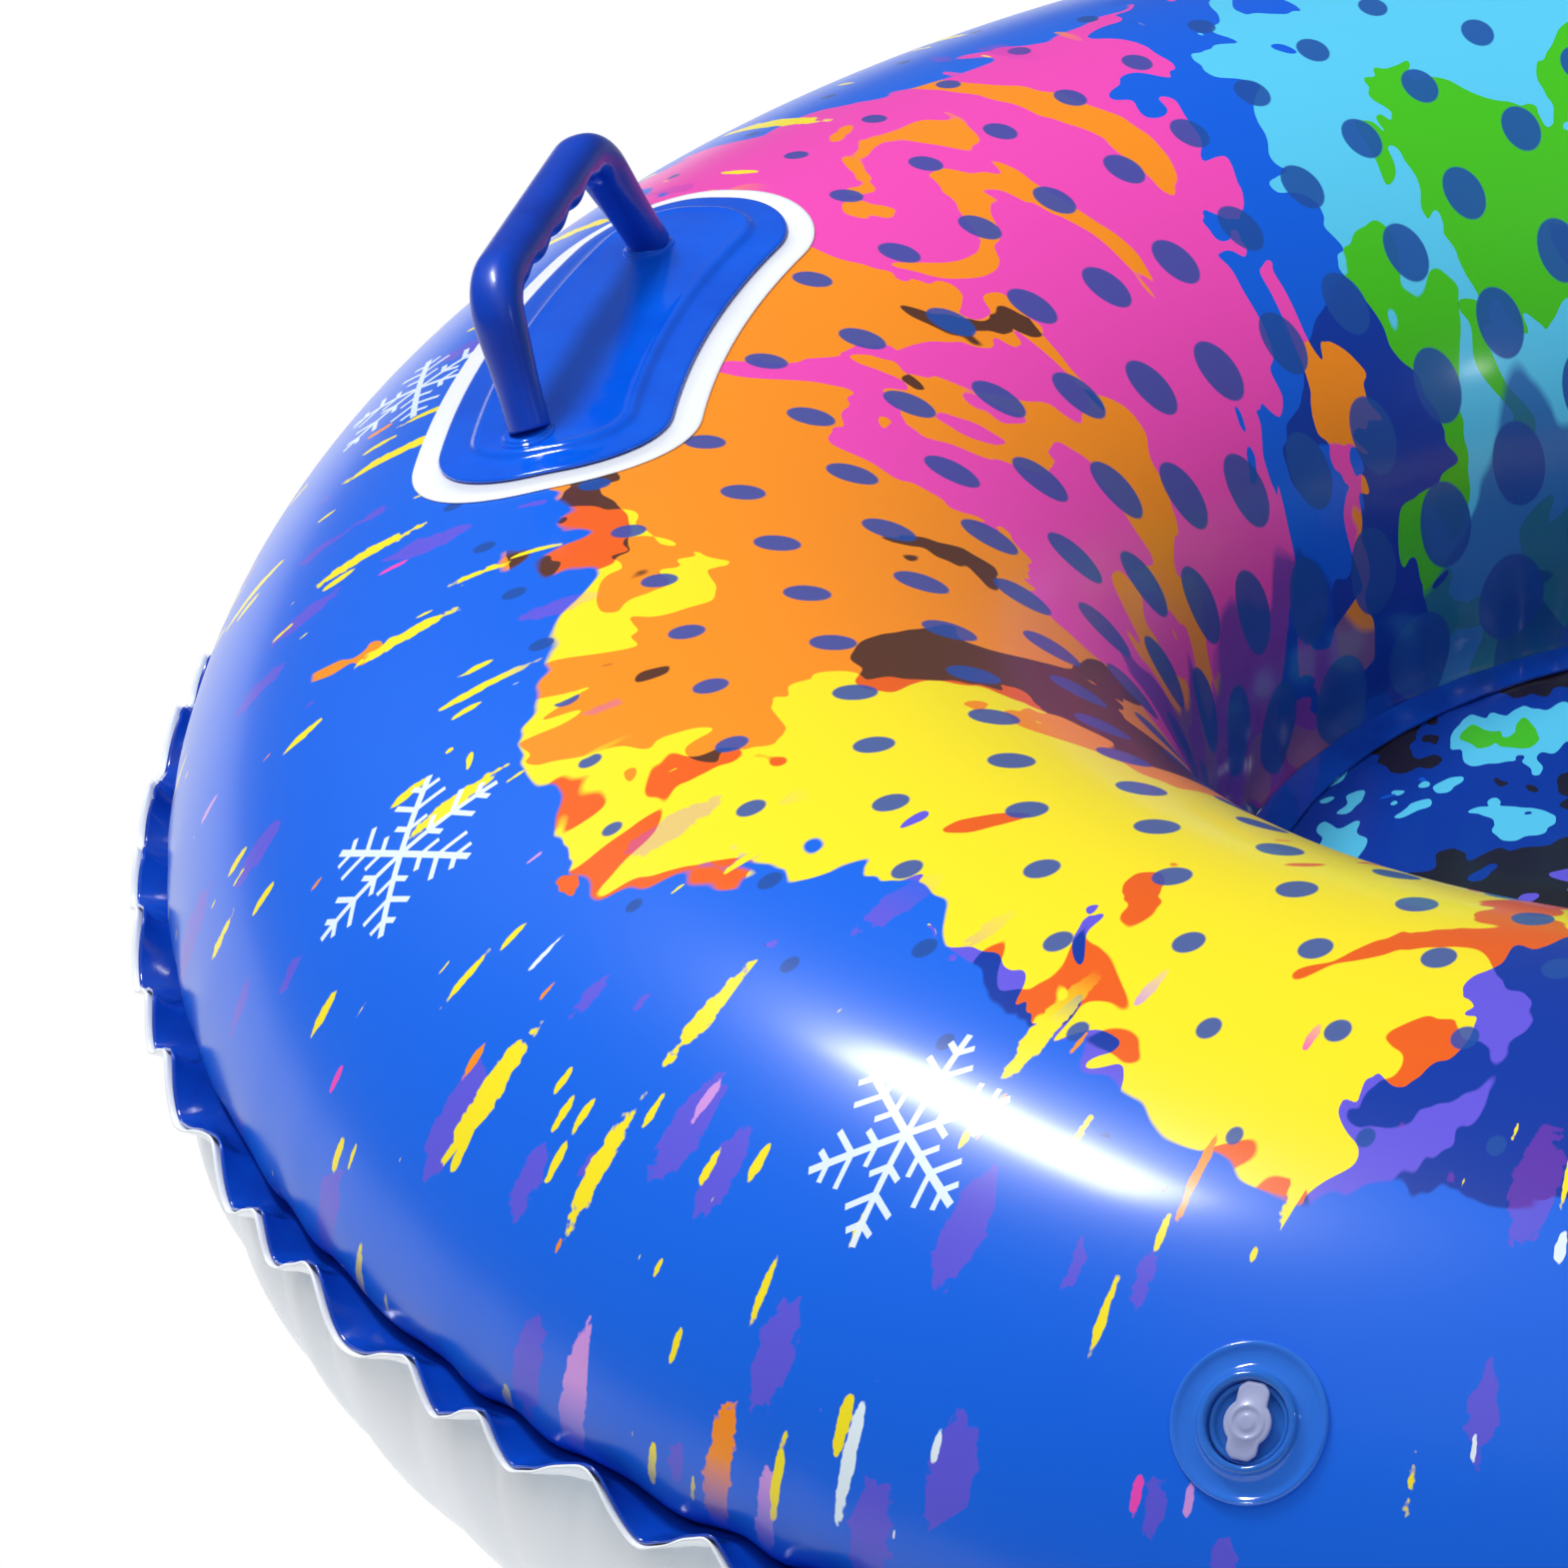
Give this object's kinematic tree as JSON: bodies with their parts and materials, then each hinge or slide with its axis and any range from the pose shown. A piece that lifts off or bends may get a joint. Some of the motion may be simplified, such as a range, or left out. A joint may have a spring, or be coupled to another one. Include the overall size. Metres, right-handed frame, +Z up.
{
  "type": "inflatable snow tube",
  "caption": "Round inflatable snow tube with a floor across the hole, a ruffled weld round the outside, fold-down grips on moulded bases and a push-in valve.",
  "frame": {"origin": "on the ground under the middle of the ring", "axes": "+Z up through the hole, the grips stand on +X and -X, the valve faces -Y"},
  "size_m": [1.0188, 1.0188, 0.3109],
  "materials": {
    "printed_vinyl": "glossy vinyl sheet printed with coloured patches on blue",
    "clear_vinyl": "glossy clear-white vinyl sheet",
    "blue_vinyl": "glossy deep blue vinyl sheet",
    "dark_blue_vinyl": "satin moulded dark blue vinyl",
    "base_blue_vinyl": "glossy moulded blue vinyl",
    "white_vinyl": "glossy white vinyl film",
    "valve_vinyl": "clear soft moulded vinyl, blue where the print shows through",
    "plug_vinyl": "cloudy soft moulded vinyl"
  },
  "bodies": {
    "tube": {"upper_skin": "printed_vinyl", "lower_skin": "clear_vinyl", "outer_seam_upper_ply": "blue_vinyl", "outer_seam_lower_ply": "clear_vinyl", "seat_floor": "printed_vinyl", "inner_seam_upper_ply": "blue_vinyl", "inner_seam_lower_ply": "clear_vinyl", "right_handle_patch": "white_vinyl", "right_handle_base": "base_blue_vinyl", "left_handle_patch": "white_vinyl", "left_handle_base": "base_blue_vinyl", "valve_flange": "valve_vinyl"},
    "right_grip": {"right_handle_grip": "dark_blue_vinyl"},
    "left_grip": {"left_handle_grip": "dark_blue_vinyl"},
    "valve_stem": {"valve_stem": "valve_vinyl"},
    "valve_plug": {"valve_plug": "plug_vinyl"},
    "check_flap": {"valve_check_flap": "valve_vinyl"}
  },
  "joints": [
    {"name": "right_grip_fold", "type": "hinge", "parent": "tube", "child": "right_grip", "pos_m": [0.37855, 0.01, 0.27202], "axis": [0, 1, 0], "range_deg": [-65, 65], "stiffness_Nm_per_rad": 0.3},
    {"name": "left_grip_fold", "type": "hinge", "parent": "tube", "child": "left_grip", "pos_m": [-0.37855, -0.01, 0.27202], "axis": [0, -1, 0], "range_deg": [-65, 65], "stiffness_Nm_per_rad": 0.3},
    {"name": "valve_pull_out", "type": "slide", "parent": "tube", "child": "valve_stem", "axis": [-0.108, -0.7493, 0.6534], "range_m": [0, 0.011]},
    {"name": "valve_plug_flip", "type": "hinge", "parent": "valve_stem", "child": "valve_plug", "pos_m": [-0.0681, -0.47254, 0.20391], "axis": [0.9898, -0.1426, 0], "range_deg": [0, 115]},
    {"name": "check_flap_open", "type": "hinge", "parent": "valve_stem", "child": "check_flap", "pos_m": [-0.06658, -0.462, 0.19987], "axis": [-0.9898, 0.1426, 0], "range_deg": [0, 40], "stiffness_Nm_per_rad": 0.0002, "springref_deg": -11.46}
  ]
}
